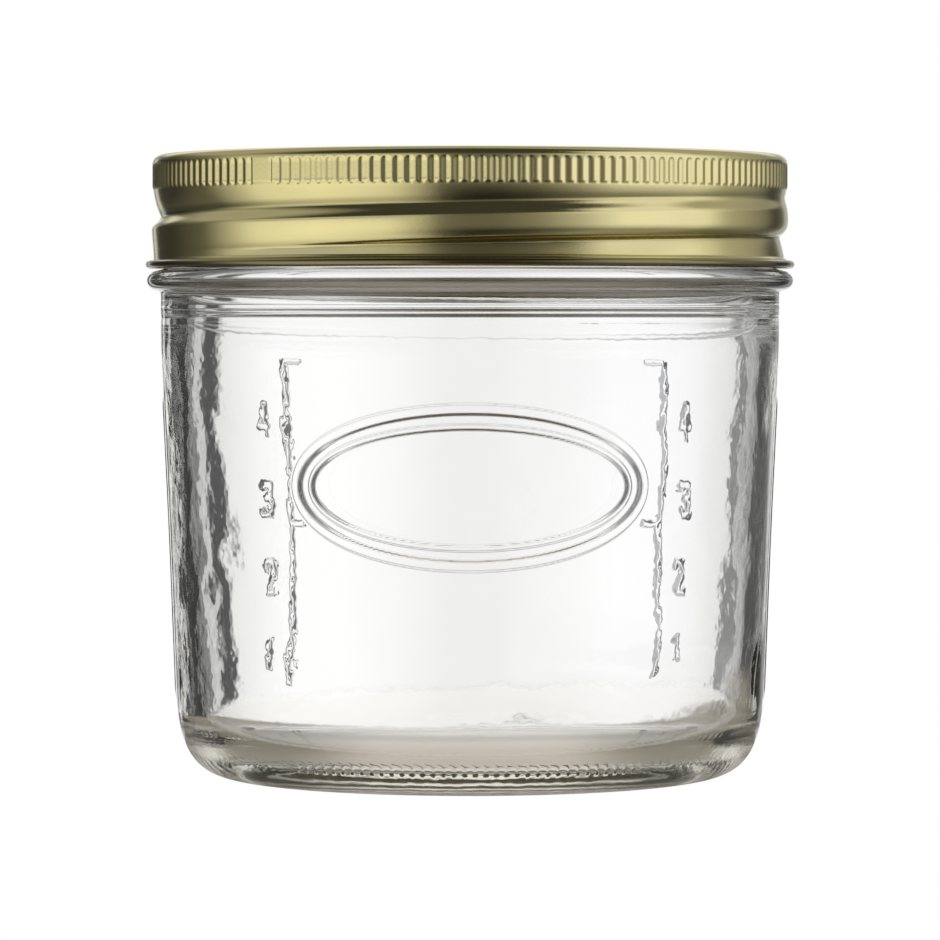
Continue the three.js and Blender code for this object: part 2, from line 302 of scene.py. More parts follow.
def arc(radius, height, size, start, end, steps=24):
    angles = np.radians(np.linspace(start, end, steps + 1))
    return np.column_stack([radius + size * np.cos(angles), height + size * np.sin(angles)])


def join(*sections):
    return np.vstack([np.atleast_2d(np.asarray(section, float)) for section in sections])


def lengths_along(points):
    return np.concatenate([[0.0], np.cumsum(np.hypot(*np.diff(points, axis=0).T))])


def evenly(points, spacing):
    """The same line with points at an even spacing."""
    along = lengths_along(points)
    count = max(2, int(round(along[-1] / spacing)))
    places = np.linspace(0.0, along[-1], count + 1)
    return np.column_stack([np.interp(places, along, points[:, axis]) for axis in range(2)])


def softened(points, softness, spacing=0.1 * MM):
    """The line with its corners rounded off, its two ends kept."""
    fine = evenly(points, spacing)
    reach = int(4 * softness / spacing)
    weights = np.exp(-0.5 * (np.arange(-reach, reach + 1) * spacing / softness) ** 2)
    weights /= weights.sum()
    before = 2 * fine[0] - fine[reach:0:-1]
    after = 2 * fine[-1] - fine[-2:-reach - 2:-1]
    padded = np.vstack([before, fine, after])
    return np.column_stack([np.convolve(padded[:, axis], weights, "valid") for axis in range(2)])


def spaced(points, spacing_at):
    """The line with points at the spacing that a function of its radius and height asks for."""
    along = lengths_along(points)
    spacing = spacing_at(points[:, 0], points[:, 1])
    steps = np.diff(along) / (0.5 * (spacing[1:] + spacing[:-1]))
    progress = np.concatenate([[0.0], np.cumsum(steps)])
    count = int(math.ceil(progress[-1]))
    wanted = np.linspace(0.0, progress[-1], count + 1)
    places = np.interp(wanted, progress, along)
    return np.column_stack([np.interp(places, along, points[:, axis]) for axis in range(2)])


def loop_points(radius, height, angles):
    radius, height, angles = np.broadcast_arrays(radius, height, angles)
    return np.column_stack([radius * np.cos(angles), radius * np.sin(angles), height])


def stitch(lower, upper, lower_start, upper_start):
    """Faces between two neighbouring loops: squares where they match, triangles where one is finer."""
    if len(lower) == len(upper):
        here = np.arange(len(lower))
        there = np.roll(here, -1)
        return np.column_stack(
            [lower_start + here, lower_start + there, upper_start + there, upper_start + here]
        ).tolist()
    faces = []
    i = 0
    j = 0
    while i < len(lower) or j < len(upper):
        a = lower_start + i % len(lower)
        b = upper_start + j % len(upper)
        lower_next = (i + 1) / len(lower)
        upper_next = (j + 1) / len(upper)
        if i < len(lower) and (j >= len(upper) or lower_next <= upper_next):
            if len(lower) > 1:
                faces.append((a, lower_start + (i + 1) % len(lower), b))
            i += 1
        else:
            if len(upper) > 1:
                faces.append((a, upper_start + (j + 1) % len(upper), b))
            j += 1
    return faces


def skin(name, loops, material, closes_on_itself=False, inside=None, notch=None):
    """A smooth piece over a row of loops that run out below, up outside and back in.

    inside marks the loops that carry the coat of the inner face.
    notch marks the points that get painted shade in the notch of the groove.
    """
    starts = np.concatenate([[0], np.cumsum([len(points) for points in loops])])
    faces = []
    last = len(loops) if closes_on_itself else len(loops) - 1
    for i in range(last):
        following = (i + 1) % len(loops)
        faces += stitch(loops[i], loops[following], int(starts[i]), int(starts[following]))
    mesh = bpy.data.meshes.new(name)
    mesh.from_pydata(np.vstack(loops).tolist(), [], faces)
    mesh.polygons.foreach_set("use_smooth", np.ones(len(mesh.polygons), bool))
    mesh.materials.append(material)
    for mark, values in (("inside", inside), ("notch", notch)):
        if values is not None:
            shares = [np.full(len(points), 1.0) * value for value, points in zip(values, loops)]
            attribute = mesh.attributes.new(mark, "FLOAT", "POINT")
            attribute.data.foreach_set("value", np.concatenate(shares))
    mesh.update()
    piece = bpy.data.objects.new(name, mesh)
    bpy.context.scene.collection.objects.link(piece)
    return piece


# Materials

def new_material(name):
    material = bpy.data.materials.new(name)
    material.use_nodes = True
    nodes = material.node_tree.nodes
    return material, nodes, material.node_tree.links, nodes["Principled BSDF"]


def noise_node(nodes, links, coordinates, scale, detail=3.0, roughness=0.5):
    node = nodes.new("ShaderNodeTexNoise")
    node.inputs["Scale"].default_value = scale
    node.inputs["Detail"].default_value = detail
    node.inputs["Roughness"].default_value = roughness
    links.new(coordinates, node.inputs["Vector"])
    return node.outputs["Fac"]


def ramp_node(nodes, links, value, stops):
    node = nodes.new("ShaderNodeValToRGB")
    elements = node.color_ramp.elements
    while len(elements) < len(stops):
        elements.new(0.5)
    for element, (place, colour) in zip(elements, stops):
        element.position = place
        element.color = colour if len(colour) == 4 else (*colour, 1.0)
    links.new(value, node.inputs["Fac"])
    return node.outputs["Color"]


def map_node(nodes, links, value, first, last, low=0.0, high=1.0, smooth=False):
    """A value carried over from the span low to high to the span first to last."""
    node = nodes.new("ShaderNodeMapRange")
    if smooth:
        node.interpolation_type = "SMOOTHSTEP"
    node.inputs["From Min"].default_value = low
    node.inputs["From Max"].default_value = high
    node.inputs["To Min"].default_value = first
    node.inputs["To Max"].default_value = last
    links.new(value, node.inputs["Value"])
    return node.outputs["Result"]


def math_node(nodes, links, operation, *values):
    node = nodes.new("ShaderNodeMath")
    node.operation = operation
    for socket, value in zip(node.inputs, values):
        if isinstance(value, (int, float)):
            socket.default_value = value
        else:
            links.new(value, socket)
    return node.outputs["Value"]


def mix_node(nodes, links, share, first, second):
    """First to second by share; second may be a plain colour."""
    node = nodes.new("ShaderNodeMix")
    node.data_type = "RGBA"
    links.new(share, node.inputs["Factor"])
    links.new(first, node.inputs["A"])
    if isinstance(second, tuple):
        node.inputs["B"].default_value = second
    else:
        links.new(second, node.inputs["B"])
    return node.outputs["Result"]


def split_node(nodes, links, place):
    node = nodes.new("ShaderNodeSeparateXYZ")
    links.new(place, node.inputs["Vector"])
    return node.outputs


def mark_node(nodes, mark):
    """The value that skin wrote on each point."""
    node = nodes.new("ShaderNodeAttribute")
    node.attribute_name = mark
    return node.outputs["Fac"]


def bump_node(nodes, links, height, strength, distance):
    node = nodes.new("ShaderNodeBump")
    if isinstance(strength, float):
        node.inputs["Strength"].default_value = strength
    else:
        links.new(strength, node.inputs["Strength"])
    node.inputs["Distance"].default_value = distance
    links.new(height, node.inputs["Height"])
    return node.outputs["Normal"]


GLASS_IOR = 1.5
GLASS_TINT = (0.88, 0.87, 0.72, 1.0)
GLASS_DENSITY = 12.0
RIPPLE_SCALE = 560.0
RIPPLE_DISTANCE = 0.2 * MM
BODY_RIPPLE = 0.06
NECK_RIPPLE = 0.012
RIPPLE_FADE = (64 * MM, 74 * MM)
PATCH_SCALE = 60.0
PATCH_ROUGHNESS = 0.012
STIPPLE_ROUGHNESS = 0.1
STIPPLE_FADE = (1.0 * MM, 2.4 * MM)


def glass_material():
    material, nodes, links, shader = new_material("clear_glass")
    place = nodes.new("ShaderNodeTexCoord").outputs["Object"]
    height = split_node(nodes, links, place)["Z"]
    shader.inputs["Base Color"].default_value = (1.0, 1.0, 1.0, 1.0)
    shader.inputs["Transmission Weight"].default_value = 1.0
    shader.inputs["IOR"].default_value = GLASS_IOR
    # The neck came smoother out of the mould than the body
    ripples = noise_node(nodes, links, place, RIPPLE_SCALE, 1.0, 0.45)
    strength = map_node(nodes, links, height, BODY_RIPPLE, NECK_RIPPLE, *RIPPLE_FADE)
    links.new(bump_node(nodes, links, ripples, strength, RIPPLE_DISTANCE), shader.inputs["Normal"])
    # The ring that the jar stands on is stippled
    stipple = map_node(nodes, links, height, STIPPLE_ROUGHNESS, 0.0, *STIPPLE_FADE)
    patches = noise_node(nodes, links, place, PATCH_SCALE, 2.0)
    dullness = map_node(nodes, links, patches, 0.0, PATCH_ROUGHNESS)
    links.new(math_node(nodes, links, "ADD", stipple, dullness), shader.inputs["Roughness"])
    absorption = nodes.new("ShaderNodeVolumeAbsorption")
    absorption.inputs["Color"].default_value = GLASS_TINT
    absorption.inputs["Density"].default_value = GLASS_DENSITY
    links.new(absorption.outputs["Volume"], nodes["Material Output"].inputs["Volume"])
    return material


INNER_COAT = (0.78, 0.71, 0.58, 1.0)
# Painted shade on the hem: the share of the lacquer colour left there, and the heights over which it fades
# out
PAINTED_HEM_SHADE = 0.3
PAINTED_HEM_SHADE_FADE = (BAND_BOTTOM + 1.2 * HEM_ROUND, BAND_BOTTOM + 2.6 * HEM_ROUND)
# Painted shade in the notch of the groove: the share of the lacquer colour left there
PAINTED_NOTCH_SHADE = 0.45
CLOUD_SCALE = 45.0
STREAK_SCALE = 420.0
STREAK_STRETCH = (1.0, 1.0, 0.12)
GRAIN_SCALE = 2600.0
GRAIN_STRENGTH = 0.1
GRAIN_DISTANCE = 0.05 * MM


def gold_material(name, light, dark, low_roughness, high_roughness):
    """Gold lacquer outside, a plain coat that is not metallic on the faces marked as inside."""
    material, nodes, links, shader = new_material(name)
    place = nodes.new("ShaderNodeTexCoord").outputs["Object"]
    height = split_node(nodes, links, place)["Z"]
    inside = mark_node(nodes, "inside")
    links.new(map_node(nodes, links, inside, 1.0, 0.0), shader.inputs["Metallic"])
    # The lacquer is cloudy, and painted shade darkens it on the hem and in the notch of the groove
    cloud = noise_node(nodes, links, place, CLOUD_SCALE, 4.0)
    tones = ramp_node(nodes, links, cloud, [(0.3, dark), (0.7, light)])
    hem_painted_shade = map_node(nodes, links, height, PAINTED_HEM_SHADE, 1.0, *PAINTED_HEM_SHADE_FADE, smooth=True)
    notch_painted_shade = map_node(nodes, links, mark_node(nodes, "notch"), 1.0, PAINTED_NOTCH_SHADE)
    shaded = nodes.new("ShaderNodeVectorMath")
    shaded.operation = "SCALE"
    links.new(tones, shaded.inputs[0])
    links.new(math_node(nodes, links, "MULTIPLY", hem_painted_shade, notch_painted_shade), shaded.inputs["Scale"])
    coat = mix_node(nodes, links, inside, shaded.outputs["Vector"], INNER_COAT)
    links.new(coat, shader.inputs["Base Color"])
    # Drawing the tinplate left upright streaks
    drawn = nodes.new("ShaderNodeMapping")
    drawn.inputs["Scale"].default_value = STREAK_STRETCH
    links.new(place, drawn.inputs["Vector"])
    streaks = noise_node(nodes, links, drawn.outputs["Vector"], STREAK_SCALE, 5.0, 0.6)
    links.new(map_node(nodes, links, streaks, low_roughness, high_roughness), shader.inputs["Roughness"])
    grain = noise_node(nodes, links, place, GRAIN_SCALE, 2.0)
    links.new(bump_node(nodes, links, grain, GRAIN_STRENGTH, GRAIN_DISTANCE), shader.inputs["Normal"])
    return material


SEAL_TONES = [(0.3, (0.50, 0.47, 0.42)), (0.7, (0.60, 0.57, 0.52))]
SEAL_CLOUD_SCALE = 220.0
SEAL_ROUGHNESS = (0.45, 0.62)
SEAL_SUBSURFACE = 0.1
SEAL_SUBSURFACE_DEPTH = 0.5 * MM
SEAL_GRAIN_SCALE = 1800.0
SEAL_GRAIN_STRENGTH = 0.15
SEAL_GRAIN_DISTANCE = 0.1 * MM


def seal_material():
    material, nodes, links, shader = new_material("seal_compound")
    place = nodes.new("ShaderNodeTexCoord").outputs["Object"]
    cloud = noise_node(nodes, links, place, SEAL_CLOUD_SCALE, 4.0)
    links.new(ramp_node(nodes, links, cloud, SEAL_TONES), shader.inputs["Base Color"])
    links.new(map_node(nodes, links, cloud, *SEAL_ROUGHNESS), shader.inputs["Roughness"])
    shader.inputs["Subsurface Weight"].default_value = SEAL_SUBSURFACE
    shader.inputs["Subsurface Scale"].default_value = SEAL_SUBSURFACE_DEPTH
    grain = noise_node(nodes, links, place, SEAL_GRAIN_SCALE, 2.0)
    bump = bump_node(nodes, links, grain, SEAL_GRAIN_STRENGTH, SEAL_GRAIN_DISTANCE)
    links.new(bump, shader.inputs["Normal"])
    return material


clear_glass = glass_material()
gold_lacquer = gold_material("gold_lacquer", (0.78, 0.695, 0.34), (0.73, 0.645, 0.30), 0.12, 0.20)
disc_lacquer = gold_material("disc_lacquer", (0.77, 0.69, 0.36), (0.72, 0.64, 0.32), 0.18, 0.28)
seal_compound = seal_material()


# Relief on the glass, as distances on the unrolled wall

def segment_distance(x, z, start, end):
    sx, sz = start
    dx = end[0] - sx
    dz = end[1] - sz
    share = np.clip(((x - sx) * dx + (z - sz) * dz) / (dx * dx + dz * dz), 0.0, 1.0)
    return np.hypot(x - sx - share * dx, z - sz - share * dz)


def raised(distance, half_width):
    return 1.0 - smoothstep(distance, half_width - RELIEF_EDGE, half_width + RELIEF_EDGE)


def oval_distance(x, z, half_width, half_height):
    value = np.hypot(x / half_width, z / half_height)
    slope = np.hypot(x / half_width ** 2, z / half_height ** 2) / np.maximum(value, 1e-6)
    return np.abs(value - 1.0) / np.maximum(slope, 1e-6)


# Strokes of plain upright numerals in a box one unit wide and two high
NUMERALS = {
    "1": [((0.2, 1.6), (0.55, 2.0)), ((0.55, 2.0), (0.55, 0.0))],
    "2": [((0.0, 1.6), (0.25, 2.0)), ((0.25, 2.0), (0.75, 2.0)), ((0.75, 2.0), (1.0, 1.6)),
          ((1.0, 1.6), (1.0, 1.3)), ((1.0, 1.3), (0.0, 0.0)), ((0.0, 0.0), (1.0, 0.0))],
    "3": [((0.0, 1.8), (0.3, 2.0)), ((0.3, 2.0), (0.8, 2.0)), ((0.8, 2.0), (1.0, 1.6)),
          ((1.0, 1.6), (0.8, 1.1)), ((0.8, 1.1), (0.4, 1.1)), ((0.8, 1.1), (1.0, 0.7)),
          ((1.0, 0.7), (0.8, 0.0)), ((0.8, 0.0), (0.2, 0.0)), ((0.2, 0.0), (0.0, 0.3))],
    "4": [((0.8, 0.0), (0.8, 2.0)), ((0.8, 2.0), (0.0, 0.6)), ((0.0, 0.6), (1.0, 0.6))],
}


def scale_strokes(side):
    """The lines and numerals of one scale, as starts and ends on the wall unrolled from the back."""
    line_x = side * SCALE_ANGLE * BODY_TOP_RADIUS
    strokes = [((line_x, SCALE_BOTTOM), (line_x, SCALE_TOP))]
    for level in (SCALE_TOP, 0.5 * (SCALE_TOP + SCALE_BOTTOM)):
        strokes.append(((line_x, level), (line_x - side * SCALE_TICK_LENGTH, level)))
    middle = line_x + side * NUMERAL_ASIDE
    for row, digit in enumerate("1234"):
        base = SCALE_BOTTOM + FIRST_NUMERAL + row * NUMERAL_STEP
        # The numerals read from the front, through the glass, where +x on the unrolled wall is to the left.
        # Seen from outside, at the back, they are mirrored.
        for stroke in NUMERALS[digit]:
            ends = [(middle - (x - 0.5) * NUMERAL_UNIT, base + z * NUMERAL_UNIT) for x, z in stroke]
            strokes.append(ends)
    return strokes


def relief(angle, height):
    """How far the mould's relief stands off the outer wall."""
    front_x = angle_from(angle, FRONT) * BODY_TOP_RADIUS
    back_x = angle_from(angle, BACK) * BODY_TOP_RADIUS
    z = height - OVAL_HEIGHT
    outer = oval_distance(front_x, z, OVAL_HALF_WIDTH, OVAL_HALF_HEIGHT)
    inner_half_width = OVAL_HALF_WIDTH - INNER_OVAL_INSET
    inner_half_height = OVAL_HALF_HEIGHT - INNER_OVAL_INSET
    inner = oval_distance(front_x, z, inner_half_width, inner_half_height)
    result = np.maximum(raised(outer, OVAL_STROKE), INNER_OVAL_SHARE * raised(inner, INNER_OVAL_STROKE))
    for side in (-1, 1):
        for start, end in scale_strokes(side):
            distance = segment_distance(back_x, height, start, end)
            result = np.maximum(result, SCALE_SHARE * raised(distance, SCALE_STROKE))
    seam = (angle + math.pi / 2) % math.pi - math.pi / 2
    strip = bell(seam * BODY_TOP_RADIUS, SEAM_HALF_WIDTH) * smoothstep(height, *SEAM_FOOT)
    strip *= 1.0 - smoothstep(height, *SEAM_HEAD)
    return RELIEF_HEIGHT * result + SEAM_HEIGHT * strip


def jar_angles():
    """Angles round the jar, closer together where the relief is."""
    places = np.linspace(0.0, TURN, 20001)
    spacing = np.full(places.shape, ROUND_SPACING)
    back = np.degrees(np.abs(angle_from(places, BACK)))
    front = np.degrees(np.abs(angle_from(places, FRONT)))
    spacing[(back > SCALE_SIDES[0]) & (back < SCALE_SIDES[1])] = SCALE_SPACING
    spacing[front < OVAL_SIDE] = OVAL_SPACING
    seam = np.abs((places + math.pi / 2) % math.pi - math.pi / 2) * BODY_TOP_RADIUS
    spacing[seam < SEAM_SIDE] = SEAM_SPACING
    progress = np.concatenate([[0.0], np.cumsum(np.diff(places) * BODY_TOP_RADIUS / spacing[1:])])
    count = int(math.ceil(progress[-1]))
    return np.interp(np.arange(count) / count * progress[-1], progress, places)


def body_radius(height):
    """Radius of the plain wall: a steeper taper above the middle than below it, joined softly."""
    lower = (BODY_MIDDLE_RADIUS - FOOT_RADIUS) / BODY_MIDDLE_HEIGHT
    upper = (BODY_TOP_RADIUS - BODY_MIDDLE_RADIUS) / (TAPER_TOP - BODY_MIDDLE_HEIGHT)
    rise = height - BODY_MIDDLE_HEIGHT
    soft = 0.5 * (rise + np.sqrt(rise ** 2 + BODY_BEND ** 2)) - 0.5 * BODY_BEND
    return BODY_MIDDLE_RADIUS + lower * rise + (upper - lower) * soft


def foot_round():
    """The foot, from the bearing ring up to the wall: a quarter of an oval, fuller than an ellipse."""
    power = 2 / FOOT_ROUND_FULLNESS
    angles = np.linspace(math.pi / 2, 0.0, 60)
    heights = FOOT_ROUND_HEIGHT * (1.0 - np.sin(angles) ** power)
    inset = FOOT_ROUND_WIDTH * (1.0 - np.maximum(np.cos(angles), 0.0) ** power)
    return np.column_stack([body_radius(heights) - inset, heights])


def bearing_nicks(angles, radius):
    """Short slanting nicks round the ring that the jar stands on."""
    beyond = radius - (FOOT_RADIUS - FOOT_ROUND_WIDTH)
    across = (angles / TURN * BEARING_NICK_COUNT + beyond / BEARING_NICK_SLANT) % 1.0 - 0.5
    depth = BEARING_NICK_DEPTH * bell(across, BEARING_NICK_SHARE)
    return depth * bell(beyond, BEARING_NICK_HALF_LENGTH)


def heel_nicks(angles, height):
    """Short upright nicks round the outside of the heel."""
    across = (angles / TURN * HEEL_NICK_COUNT) % 1.0 - 0.5
    depth = HEEL_NICK_DEPTH * bell(across, HEEL_NICK_SHARE)
    return depth * bell(height - HEEL_NICK_HEIGHT, HEEL_NICK_HALF_LENGTH)


# Seed, number of cells round the jar and height of a cell
broad_noise = Noise(11, 18, 16 * MM)
medium_noise = Noise(12, 60, 5 * MM)


def inner_wall(angles, height):
    """How far the inside of the wall stands off its plain line: waves, and the thinner glass."""
    waviness = smoothstep(height, *WAVE_FOOT) * (1.0 - smoothstep(height, *WAVE_HEAD))
    waves = BROAD_WAVE * broad_noise(angles, height) + MEDIUM_WAVE * medium_noise(angles, height)
    thinner = smoothstep(height, *THIN_FOOT) * (1.0 - smoothstep(height, *THIN_HEAD))
    thin_side = THIN_LEFT + (THIN_RIGHT - THIN_LEFT) * 0.5 * (1.0 + np.cos(angles))
    return waviness * waves + thinner * (thin_side + THIN_TOP * (height - BODY_MIDDLE_HEIGHT))


def glass_jar():
    slope = math.degrees(math.atan((BODY_MIDDLE_RADIUS - FOOT_RADIUS) / BODY_MIDDLE_HEIGHT))
    bead_height = RIM - BEAD_DEPTH
    bead_top = bead_height + BEAD_ROUND
    bearing_inner = FOOT_RADIUS - FOOT_ROUND_WIDTH - BEARING_WIDTH
    # The taper of the wall is steeper above its middle
    levels = np.linspace(FOOT_ROUND_HEIGHT + 2 * MM, TAPER_TOP, 40)
    bowed = np.column_stack([body_radius(levels), levels])
    shares = np.linspace(0.0, 1.0, 20)
    base = np.column_stack([shares * bearing_inner, PUSH_UP * (1.0 - shares ** 2)])
    outside = join(
        base,
        foot_round(),
        bowed,
        (BODY_TOP_RADIUS, bead_height - BEAD_FILLET),
        arc(BEAD_RADIUS - BEAD_ROUND, bead_height, BEAD_ROUND, -75, 90),
        (NECK_RADIUS, bead_top + 0.3 * MM),
        arc(NECK_RADIUS - RIM_OUTER_ROUND, RIM - RIM_OUTER_ROUND, RIM_OUTER_ROUND, 0, 90),
    )
    corner_top = FLOOR_THICKNESS + FLOOR_CORNER
    floor_centre = body_radius(corner_top) - BODY_WALL - FLOOR_CORNER
    inward = 1.0 - shares
    crown = np.column_stack([inward * floor_centre, FLOOR_THICKNESS + FLOOR_CROWN * (1.0 - inward ** 2)])
    inside = join(
        arc(BORE_RADIUS + RIM_INNER_ROUND, RIM - RIM_INNER_ROUND, RIM_INNER_ROUND, 90, 180),
        (bowed - np.array([BODY_WALL, 0.0]))[::-1],
        arc(floor_centre, corner_top, FLOOR_CORNER, -slope, -90),
        crown,
    )
    line = softened(join(outside, inside), GLASS_SOFTNESS)
    is_outer = np.arange(len(line)) <= int(np.argmax(line[:, 1]))
    neck_lines = NECK_SEAM_HEIGHT * bell(line[:, 1] - NECK_SEAM, NECK_SEAM_HALF_WIDTH)
    neck_lines -= NECK_STEP_DEPTH * bell(line[:, 1] - NECK_STEP, NECK_STEP_HALF_WIDTH)
    line[:, 0] += np.where(is_outer & (line[:, 1] < bead_height - BEAD_ROUND), neck_lines, 0.0)
    line[:, 1] = np.maximum(line[:, 1], 0.0)

    def spacing_at(radius, height):
        spacing = np.full(radius.shape, INNER_SPACING)
        spacing[is_outer & (height > RELIEF_BOTTOM) & (height < NECK_SPACING_FROM)] = WALL_SPACING
        oval = np.abs(height - OVAL_HEIGHT) < OVAL_HALF_HEIGHT + 2 * MM
        spacing[is_outer & oval] = OVAL_SPACING
        spacing[is_outer & (height >= NECK_SPACING_FROM)] = NECK_SPACING
        outward = radius > FOOT_SPACING_FROM
        spacing[is_outer & (height <= RELIEF_BOTTOM) & outward] = WALL_SPACING
        spacing[~is_outer & (height < FLOOR_SPACING_TO) & outward] = WALL_SPACING
        return spacing

    marked = spaced(line, spacing_at)
    outer_count = int(np.argmax(marked[:, 1]))
    angles = jar_angles()
    ridge_low = bead_top + RIDGE_ABOVE_BEAD
    ridge_high = knurl_bottom() - RIDGE_HALF_WIDTH - RUN_OUT_CLEARANCE
    ridge_start = GROOVE_START + (ridge_low - RIDGE_ABOVE_GROOVE - groove_span()[0]) / PITCH * TURN
    loops = []
    for index, (radius, height) in enumerate(marked):
        if radius < ON_AXIS:
            loops.append(np.array([[0.0, 0.0, height]]))
            continue
        offset = np.zeros(angles.shape)
        lift = np.zeros(angles.shape)
        if index >= outer_count:
            offset = inner_wall(angles, height)
        elif height < BEARING_NICK_TOP:
            lift = bearing_nicks(angles, radius)
        elif abs(height - HEEL_NICK_HEIGHT) < HEEL_NICK_HALF_LENGTH:
            offset = -heel_nicks(angles, height)
        elif bead_top + 0.2 * MM < height < RIM - RIM_OUTER_ROUND:
            ridge = helix_strength(angles, height, ridge_low, ridge_high, ridge_start, ridge_shape)
            offset = THREAD_HEIGHT * ridge
        elif RELIEF_BOTTOM < height < RELIEF_TOP:
            offset = relief(angles, height)
        loops.append(loop_points(radius + offset, height + lift, angles))
    loops[0] = np.array([[0.0, 0.0, marked[0, 1]]])
    loops[-1] = np.array([[0.0, 0.0, marked[-1, 1]]])
    return skin("glass_jar_shell", loops, clear_glass)


# Screw band

def ridge_shape(along, centre, height):
    return bell(height - centre, RIDGE_HALF_WIDTH)


def groove_shape(along, centre, height):
    """Steep towards the rib between two turns, and easy towards the hem or the knurl."""
    climb = smoothstep(along - GROOVE_LEAD, TURN / 4, 3 * TURN / 4)
    above = height - centre
    steep = bell(above, GROOVE_STEEP_WIDTH)
    room = np.maximum(knurl_bottom() - centre, GROOVE_CONE_LEAST)
    cone = np.clip(1.0 - above / room, 0.0, 1.0) ** GROOVE_CONE_POWER
    bulge = np.clip(1.0 - above / GROOVE_RISE_WIDTH, 0.0, 1.0) ** GROOVE_RISE_POWER
    upward = bulge * (1.0 - climb) + cone * climb
    downward = np.clip(1.0 + above / GROOVE_EASY_WIDTH, 0.0, 1.0) * (1.0 - climb) + steep * climb
    return np.where(above > 0.0, upward, downward)


# The band of painted shade in the notch of the groove, a little above its middle line
def notch_shape(along, centre, height):
    return bell(height - centre - NOTCH_RISE, NOTCH_HALF_WIDTH)


def knurl_bottom():
    return BAND_TOP - BAND_CORNER - KNURL_LENGTH


def groove_span():
    hem_top = BAND_BOTTOM + 2 * HEM_ROUND
    lead = GROOVE_LEAD / TURN * PITCH
    return hem_top + GROOVE_ABOVE_HEM - lead, knurl_bottom() - GROOVE_BELOW_KNURL


def flute_depth(angles, height):
    """Upright flutes with round ends, side by side round the band, from 0 to 1."""
    across = (angles / TURN * KNURL_COUNT) % 1.0 - 0.5
    high = BAND_TOP - BAND_CORNER + FLUTE_OVERRUN
    low = knurl_bottom()
    beyond = np.maximum(height - (high - FLUTE_END), (low + FLUTE_END) - height)
    beyond = np.maximum(0.0, beyond) / FLUTE_END
    cap = np.sqrt(np.clip(1.0 - beyond ** 2, 1e-6, 1.0))
    gap = np.abs(angle_from(angles, KNURL_GAP_ANGLE))
    in_gap = gap < KNURL_GAP_FLUTES / KNURL_COUNT * math.pi
    return np.where(in_gap, 0.0, bell(across, 0.5 * cap) * cap)


def screw_band():
    hem_top = BAND_BOTTOM + 2 * HEM_ROUND
    low = knurl_bottom()
    knurl_top = BAND_TOP - BAND_CORNER
    crest = BAND_RADIUS + KNURL_STAND_OUT
    corner_radius = crest - BAND_CORNER
    groove_low, groove_high = groove_span()
    angles = np.arange(BAND_COLUMNS) / BAND_COLUMNS * TURN
    fine_angles = np.arange(KNURL_COLUMNS) / KNURL_COLUMNS * TURN

    def groove_at(height, shape):
        """How strongly the groove, or a form within it, stands round the band at a height."""
        return helix_strength(
            angles, height, groove_low, groove_high, GROOVE_START, shape, GROOVE_RISE, GROOVE_FADE
        )

    def skirt(height):
        middle = 0.5 * (low + hem_top)
        swell = BAND_RADIUS + SKIRT_SWELL * bell(height - middle, 0.5 * (low - hem_top))
        return swell - (swell - GROOVE_RADIUS) * groove_at(height, groove_shape)

    hem = softened(join(
        (BAND_RADIUS - TINPLATE, hem_top),
        (BAND_RADIUS - TINPLATE, BAND_BOTTOM + HEM_ROUND),
        arc(BAND_RADIUS + HEM_ROUND, BAND_BOTTOM + HEM_ROUND, HEM_ROUND, -120, 140),
        (BAND_RADIUS, hem_top + 0.2 * MM),
    ), HEM_SOFTNESS, BEND_SPACING)
    hem = evenly(hem, HEM_SPACING)
    loops = [loop_points(radius, height, angles) for radius, height in hem]
    rows = np.linspace(hem_top + SKIRT_ABOVE_HEM, low - SKIRT_BELOW_KNURL, SKIRT_ROWS)
    loops += [loop_points(skirt(height), height, angles) for height in rows]
    for height in np.linspace(low, knurl_top + FLUTE_OVERRUN, KNURL_ROWS):
        wall = BAND_RADIUS + KNURL_STAND_OUT * smoothstep(height, low, low + KNURL_SHOULDER)
        over = max(0.0, height - knurl_top)
        wall -= BAND_CORNER - math.sqrt(BAND_CORNER ** 2 - over ** 2)
        flutes = KNURL_DEPTH * flute_depth(fine_angles, height)
        loops.append(loop_points(wall - flutes, height, fine_angles))
    corner_start = math.degrees(math.asin(FLUTE_OVERRUN / BAND_CORNER)) + 3
    top = softened(join(
        arc(corner_radius, knurl_top, BAND_CORNER, corner_start, 90),
        arc(OPENING_RADIUS + LIP_BEND, BAND_TOP - LIP_BEND, LIP_BEND, 90, 180),
        (OPENING_RADIUS, BAND_TOP - LIP_DEPTH),
        (OPENING_RADIUS + TINPLATE, BAND_TOP - LIP_DEPTH),
        arc(OPENING_RADIUS + LIP_BEND, BAND_TOP - LIP_BEND, LIP_BEND - TINPLATE, 180, 90),
        (corner_radius, BAND_TOP - TINPLATE),
        (crest - KNURL_DEPTH - TINPLATE, knurl_top),
        (crest - KNURL_DEPTH - TINPLATE, low),
    ), LIP_SOFTNESS, BEND_SPACING)
    top = spaced(top, lambda radius, height: np.where(height > BAND_TOP - 2 * MM, 0.2 * MM, 0.6 * MM))
    # The inner coat starts at the lowest point of the lip
    off_lip = top[:, 0] > OPENING_RADIUS + 0.1 * MM
    turned_in = len(loops) + int(np.argmin(np.where(off_lip, BAND_TOP, top[:, 1])))
    loops += [loop_points(radius, height, angles) for radius, height in top]
    loops += [loop_points(skirt(height) - TINPLATE, height, angles) for height in rows[::-2]]
    inside = np.arange(len(loops)) > turned_in
    # Painted shade in the notch of the groove, on the outer rows of the skirt
    notch = [0.0] * len(loops)
    notch[len(hem):len(hem) + len(rows)] = [groove_at(height, notch_shape) for height in rows]
    return skin("screw_band_shell", loops, gold_lacquer, True, inside, notch)


# Vacuum disc and sealing ring

